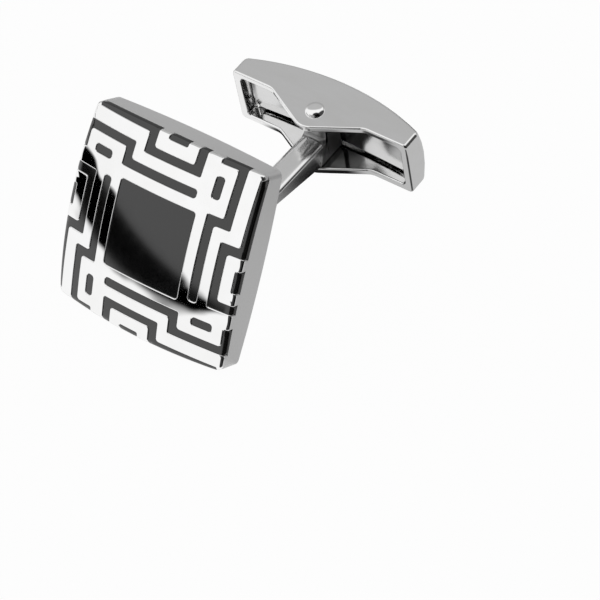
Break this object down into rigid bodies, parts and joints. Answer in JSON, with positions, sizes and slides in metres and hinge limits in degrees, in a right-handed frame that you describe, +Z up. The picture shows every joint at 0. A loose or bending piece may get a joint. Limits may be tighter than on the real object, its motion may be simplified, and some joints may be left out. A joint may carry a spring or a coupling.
{
  "type": "cufflink",
  "caption": "Square cufflink: domed plated face with a dark enamel key fret, a curved arm behind it, and a hollow toggle bar that swivels on a rivet to pass a buttonhole.",
  "frame": {"origin": "middle of the face plate's flat back, where the cuff lies", "axes": "+Y from the back of the face plate through the cuff towards the toggle, so the face looks along -Y; +Z up on the face, the way the arm bends; +X along the toggle at rest"},
  "size_m": [0.0178, 0.0267, 0.0181],
  "materials": {
    "plated_face": "mirror-polished front and satin sides, rhodium plate over cast brass",
    "plated_arm": "polished rhodium plate over brass",
    "plated_toggle": "polished rhodium plate over brass",
    "plated_rivet": "polished rhodium plate",
    "enamel": "glossy dark grey resin enamel",
    "centre_enamel": "polished near-black resin enamel",
    "spring_steel": "plain rolled strip"
  },
  "bodies": {
    "link": {"face_plate": "plated_face", "inlay_centre": "centre_enamel", "inlay_hook_top": "enamel", "inlay_hook_left": "enamel", "inlay_hook_bottom": "enamel", "inlay_hook_right": "enamel", "inlay_key_top": "enamel", "inlay_key_left": "enamel", "inlay_key_bottom": "enamel", "inlay_key_right": "enamel", "inlay_edge_top": "enamel", "inlay_edge_left": "enamel", "inlay_edge_bottom": "enamel", "inlay_edge_right": "enamel", "inlay_dash_top": "enamel", "inlay_dash_left": "enamel", "inlay_dash_bottom": "enamel", "inlay_dash_right": "enamel", "arm": "plated_arm"},
    "toggle": {"toggle_shell": "plated_toggle", "rivet_pin": "plated_rivet", "leaf_spring": "spring_steel"}
  },
  "joints": [
    {"name": "toggle_swivel", "type": "hinge", "parent": "link", "child": "toggle", "pos_m": [0, 0.01814, 0.0052], "axis": [0, -0.571, 0.821], "range_deg": [-80, 80], "deforming": ["leaf_spring"]}
  ]
}
